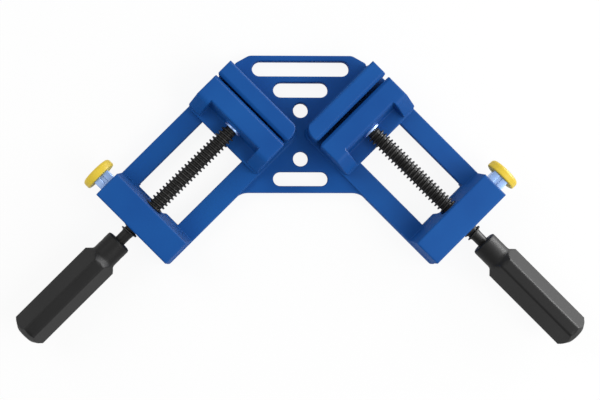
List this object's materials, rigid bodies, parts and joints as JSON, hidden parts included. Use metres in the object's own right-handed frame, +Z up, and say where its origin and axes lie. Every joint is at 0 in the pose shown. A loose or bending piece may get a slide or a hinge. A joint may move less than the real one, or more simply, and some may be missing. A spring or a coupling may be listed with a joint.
{
  "type": "corner clamp",
  "caption": "Die-cast corner clamp that holds workpieces at a right angle, with screw-driven jaws, plastic handles, quick-release buttons and a slotted web for bench mounting.",
  "frame": {"origin": "the corner where the planes of the two fixed jaw faces meet, on the plane of the underside", "axes": "+X out along the left arm and its screw, +Y out along the right arm and its screw, +Z up from the bench through the casting"},
  "size_m": [0.3121, 0.3133, 0.0413],
  "materials": {
    "casting": "semi-gloss blue enamel on die-cast aluminium",
    "screw": "black oxide on rolled steel",
    "handle": "satin black moulded plastic",
    "button": "smooth yellow moulded plastic",
    "slider": "bright zinc-plated steel",
    "hardware": "bright zinc-plated steel"
  },
  "bodies": {
    "frame": {"base_casting": "casting", "stop_pin_left": "hardware", "stop_pin_right": "hardware", "return_spring_left": "hardware", "return_spring_right": "hardware"},
    "jaw_left": {"jaw_left": "casting", "jaw_keeper_left": "hardware", "keeper_screws_left": "hardware", "jaw_pin_left": "hardware", "thrust_washer_left": "hardware"},
    "spindle_left": {"clamp_screw_left": "screw", "handle_left": "handle", "handle_pin_left": "screw"},
    "release_left": {"release_slider_left": "slider", "release_button_left": "button"},
    "jaw_right": {"jaw_right": "casting", "jaw_keeper_right": "hardware", "keeper_screws_right": "hardware", "jaw_pin_right": "hardware", "thrust_washer_right": "hardware"},
    "spindle_right": {"clamp_screw_right": "screw", "handle_right": "handle", "handle_pin_right": "screw"},
    "release_right": {"release_slider_right": "slider", "release_button_right": "button"}
  },
  "joints": [
    {"name": "screw_turn_left", "type": "hinge", "parent": "jaw_left", "child": "spindle_left", "pos_m": [0.06, -0.0476, 0.028], "axis": [1, 0, 0], "range_deg": [-144.5, 7440.5]},
    {"name": "jaw_slide_left", "type": "slide", "parent": "frame", "child": "jaw_left", "axis": [1, 0, 0], "range_m": [-0.0012, 0.062]},
    {"name": "release_press_left", "type": "slide", "parent": "frame", "child": "release_left", "axis": [0, 1, 0], "range_m": [0, 0.004], "stiffness_N_per_m": 900, "springref_m": -0.004, "deforming": ["return_spring_left"]},
    {"name": "screw_turn_right", "type": "hinge", "parent": "jaw_right", "child": "spindle_right", "pos_m": [-0.0476, 0.06, 0.028], "axis": [0, 1, 0], "range_deg": [-288.5, 7296.5]},
    {"name": "jaw_slide_right", "type": "slide", "parent": "frame", "child": "jaw_right", "axis": [0, 1, 0], "range_m": [-0.0024, 0.0608]},
    {"name": "release_press_right", "type": "slide", "parent": "frame", "child": "release_right", "axis": [1, 0, 0], "range_m": [0, 0.004], "stiffness_N_per_m": 900, "springref_m": -0.004, "deforming": ["return_spring_right"]}
  ],
  "couplings": [
    {"joint": "screw_turn_left", "follows": "jaw_slide_left", "rad_per_m": 2094.4},
    {"joint": "screw_turn_right", "follows": "jaw_slide_right", "rad_per_m": 2094.4}
  ]
}
